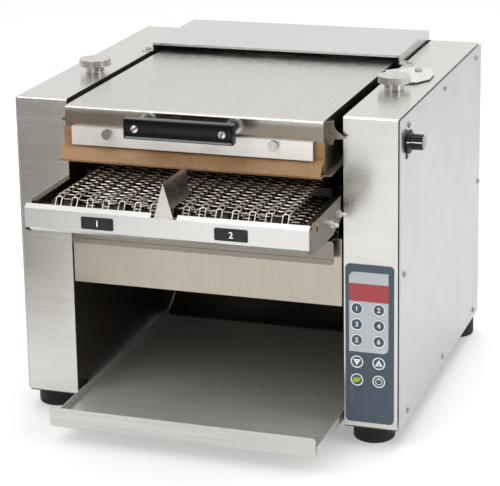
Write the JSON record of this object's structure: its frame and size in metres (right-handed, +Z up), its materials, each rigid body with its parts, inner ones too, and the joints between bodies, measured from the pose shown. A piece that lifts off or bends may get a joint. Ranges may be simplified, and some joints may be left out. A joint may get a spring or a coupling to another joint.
{
  "type": "conveyor bun toaster",
  "caption": "Countertop conveyor toaster: wire belt between two towers, tilting heated upper housing, return chute and landing tray.",
  "frame": {"origin": "centre of the bounding box, on the worktop the feet stand on", "axes": "+Z up, -Y towards the operator (the loading side), +X to the operator's right"},
  "size_m": [0.4834, 0.5616, 0.404],
  "materials": {
    "stainless": "brushed stainless sheet",
    "satin_steel": "satin stainless sheet, fine vertical grain",
    "dark_steel": "stainless sheet, dull and heat stained",
    "tray_steel": "dull stainless sheet",
    "machined_steel": "turned steel, zinc plated",
    "belt_wire": "stainless wire, heat browned",
    "platen_aluminium": "cast, dull",
    "knob_aluminium": "turned and knurled, plain",
    "heater_sheath": "oxidised sheath",
    "bronze": "sintered bronze, plain",
    "motor_paint": "grey paint",
    "rubber": "matte moulded",
    "black_plastic": "moulded, fine texture",
    "handle_plastic": "moulded, heat resistant",
    "overlay_film": "printed polyester film",
    "key_film": "printed polyester film, domed",
    "release_film": "coated glass cloth, satin",
    "circuit_board": "green board"
  },
  "bodies": {
    "base": {"tower_shell_left": "stainless", "tower_shell_right": "stainless", "inner_wall_left": "dark_steel", "inner_wall_right": "dark_steel", "side_panel_left": "satin_steel", "side_panel_right": "satin_steel", "case_screws": "machined_steel", "base_frame": "dark_steel", "feet": "rubber", "rear_panel": "stainless", "rear_top_cover": "stainless", "lower_front_plate": "stainless", "return_chute": "dark_steel", "conveyor_front_bar": "stainless", "conveyor_arm_left": "stainless", "conveyor_arm_right": "stainless", "arm_studs": "machined_steel", "lane_plates": "black_plastic", "wire_belt": "belt_wire", "shaft_bushes": "bronze", "gearmotor": "motor_paint", "lower_platen": "platen_aluminium", "lower_heater": "heater_sheath", "knob_collars": "machined_steel", "latch_screw": "machined_steel", "keypad_overlay": "overlay_film", "control_board": "circuit_board", "cord_gland": "black_plastic", "dial_switch": "black_plastic"},
    "landing_tray": {"landing_tray": "tray_steel"},
    "crumb_tray": {"crumb_tray": "stainless"},
    "lane_divider": {"lane_divider": "stainless"},
    "drive_shaft": {"drive_shaft": "machined_steel"},
    "idler_shaft": {"idler_shaft": "machined_steel"},
    "lift_carriage": {"lift_brackets": "machined_steel"},
    "upper_housing": {"upper_housing": "stainless", "upper_platen": "platen_aluminium", "upper_heater": "heater_sheath", "release_sheet": "release_film", "clamp_bar": "stainless", "clamp_pins": "machined_steel", "handle_bar": "handle_plastic", "handle_standoffs": "handle_plastic", "handle_bushings": "stainless", "handle_screws": "machined_steel", "height_pointers": "stainless"},
    "height_knob_left": {"height_knob_left": "knob_aluminium"},
    "height_knob_right": {"height_knob_right": "knob_aluminium"},
    "side_dial": {"side_dial": "black_plastic"},
    "latch_plate": {"latch_plate": "stainless"},
    "key_1": {"key_1": "key_film"},
    "key_2": {"key_2": "key_film"},
    "key_3": {"key_3": "key_film"},
    "key_4": {"key_4": "key_film"},
    "key_5": {"key_5": "key_film"},
    "key_6": {"key_6": "key_film"},
    "key_down": {"key_down": "key_film"},
    "key_up": {"key_up": "key_film"},
    "key_standby": {"key_standby": "key_film"},
    "key_power": {"key_power": "key_film"}
  },
  "joints": [
    {"name": "landing_tray_slide", "type": "slide", "parent": "base", "child": "landing_tray", "axis": [0, -1, 0], "range_m": [0, 0.3]},
    {"name": "crumb_tray_slide", "type": "slide", "parent": "base", "child": "crumb_tray", "axis": [0, -1, 0], "range_m": [0, 0.27]},
    {"name": "lane_divider_lift_off", "type": "slide", "parent": "base", "child": "lane_divider", "axis": [0, 0, 1], "range_m": [0, 0.03]},
    {"name": "belt_drive_spin", "type": "hinge", "parent": "base", "child": "drive_shaft", "pos_m": [-0.0093, 0.1098, 0.2875], "axis": [1, 0, 0], "continuous": true},
    {"name": "belt_idler_spin", "type": "hinge", "parent": "base", "child": "idler_shaft", "pos_m": [-0.0093, -0.2492, 0.2875], "axis": [1, 0, 0], "continuous": true},
    {"name": "housing_lift", "type": "slide", "parent": "base", "child": "lift_carriage", "axis": [0, 0, 1], "range_m": [-0.018, 0]},
    {"name": "housing_tilt", "type": "hinge", "parent": "lift_carriage", "child": "upper_housing", "pos_m": [-0.0093, 0.1228, 0.36], "axis": [-1, 0, 0], "range_deg": [0, 20]},
    {"name": "height_knob_left_turn", "type": "hinge", "parent": "base", "child": "height_knob_left", "pos_m": [-0.1963, -0.0126, 0.396], "axis": [0, 0, 1], "range_deg": [0, 811]},
    {"name": "height_knob_right_turn", "type": "hinge", "parent": "base", "child": "height_knob_right", "pos_m": [0.1777, -0.0126, 0.396], "axis": [0, 0, 1], "range_deg": [0, 811]},
    {"name": "side_dial_turn", "type": "hinge", "parent": "base", "child": "side_dial", "pos_m": [0.2227, -0.1252, 0.3564], "axis": [1, 0, 0], "range_deg": [-150, 150]},
    {"name": "latch_plate_turn", "type": "hinge", "parent": "base", "child": "latch_plate", "pos_m": [0.1842, 0.0786, 0.389], "axis": [0, 0, 1], "range_deg": [-28, 0]},
    {"name": "key_1_press", "type": "slide", "parent": "base", "child": "key_1", "axis": [0, 1, 0], "range_m": [0, 0.0005], "stiffness_N_per_m": 300, "springref_m": -0.001},
    {"name": "key_2_press", "type": "slide", "parent": "base", "child": "key_2", "axis": [0, 1, 0], "range_m": [0, 0.0005], "stiffness_N_per_m": 300, "springref_m": -0.001},
    {"name": "key_3_press", "type": "slide", "parent": "base", "child": "key_3", "axis": [0, 1, 0], "range_m": [0, 0.0005], "stiffness_N_per_m": 300, "springref_m": -0.001},
    {"name": "key_4_press", "type": "slide", "parent": "base", "child": "key_4", "axis": [0, 1, 0], "range_m": [0, 0.0005], "stiffness_N_per_m": 300, "springref_m": -0.001},
    {"name": "key_5_press", "type": "slide", "parent": "base", "child": "key_5", "axis": [0, 1, 0], "range_m": [0, 0.0005], "stiffness_N_per_m": 300, "springref_m": -0.001},
    {"name": "key_6_press", "type": "slide", "parent": "base", "child": "key_6", "axis": [0, 1, 0], "range_m": [0, 0.0005], "stiffness_N_per_m": 300, "springref_m": -0.001},
    {"name": "key_down_press", "type": "slide", "parent": "base", "child": "key_down", "axis": [0, 1, 0], "range_m": [0, 0.0005], "stiffness_N_per_m": 300, "springref_m": -0.001},
    {"name": "key_up_press", "type": "slide", "parent": "base", "child": "key_up", "axis": [0, 1, 0], "range_m": [0, 0.0005], "stiffness_N_per_m": 300, "springref_m": -0.001},
    {"name": "key_standby_press", "type": "slide", "parent": "base", "child": "key_standby", "axis": [0, 1, 0], "range_m": [0, 0.0005], "stiffness_N_per_m": 300, "springref_m": -0.001},
    {"name": "key_power_press", "type": "slide", "parent": "base", "child": "key_power", "axis": [0, 1, 0], "range_m": [0, 0.0005], "stiffness_N_per_m": 300, "springref_m": -0.001}
  ],
  "couplings": [
    {"joint": "belt_idler_spin", "follows": "belt_drive_spin", "ratio": 1},
    {"joint": "height_knob_left_turn", "follows": "housing_lift", "rad_per_m": -785.4},
    {"joint": "height_knob_right_turn", "follows": "housing_lift", "rad_per_m": -785.4}
  ]
}
